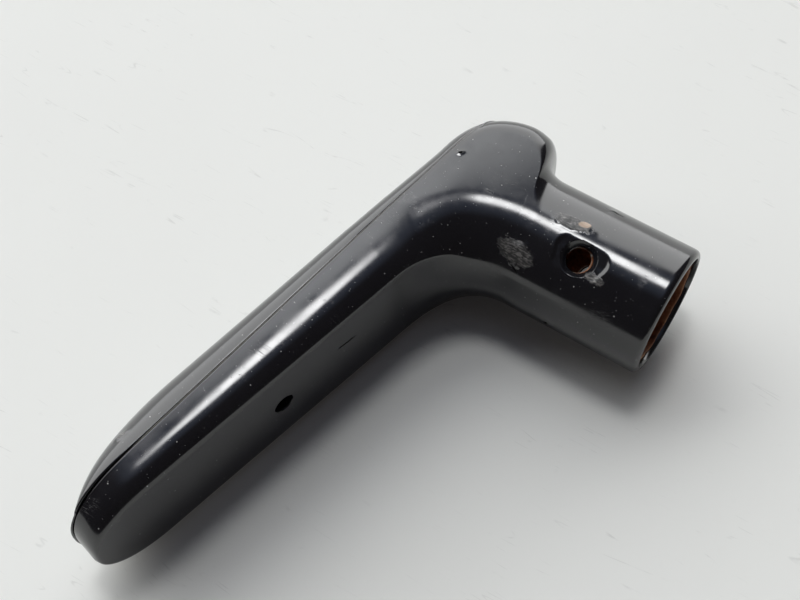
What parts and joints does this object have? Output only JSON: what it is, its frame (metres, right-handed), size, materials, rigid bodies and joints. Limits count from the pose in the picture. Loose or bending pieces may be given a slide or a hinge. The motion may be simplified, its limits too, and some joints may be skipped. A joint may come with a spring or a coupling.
{
  "type": "angled pull handle",
  "caption": "Glossy black angled pull handle with a domed grip and a steel-lined round socket arm, cross-drilled for a retaining pin.",
  "frame": {"origin": "centre of the open end of the steel sleeve in the socket arm", "axes": "+X out of the socket along its axis, grip hanging toward -Y, +Z square to the plane of the L, so the handle lies on its side"},
  "size_m": [0.0717, 0.1161, 0.0286],
  "materials": {
    "black_gloss": "polished black moulding, scratched and chipped with age",
    "black_gloss_back": "polished black moulding, lightly scuffed",
    "cement": "thin grey cement line",
    "rusty_sleeve": "rolled sheet steel with even orange-brown rust",
    "dull_steel": "mild steel with dark brown rust",
    "rivet_steel": "steel with light rust"
  },
  "bodies": {
    "root": {"front_shell": "black_gloss", "back_shell": "black_gloss_back", "seam_cement": "cement", "socket_sleeve": "rusty_sleeve", "sleeve_end_plate": "dull_steel", "core_bar": "dull_steel", "core_rivets": "rivet_steel"}
  },
  "joints": []
}
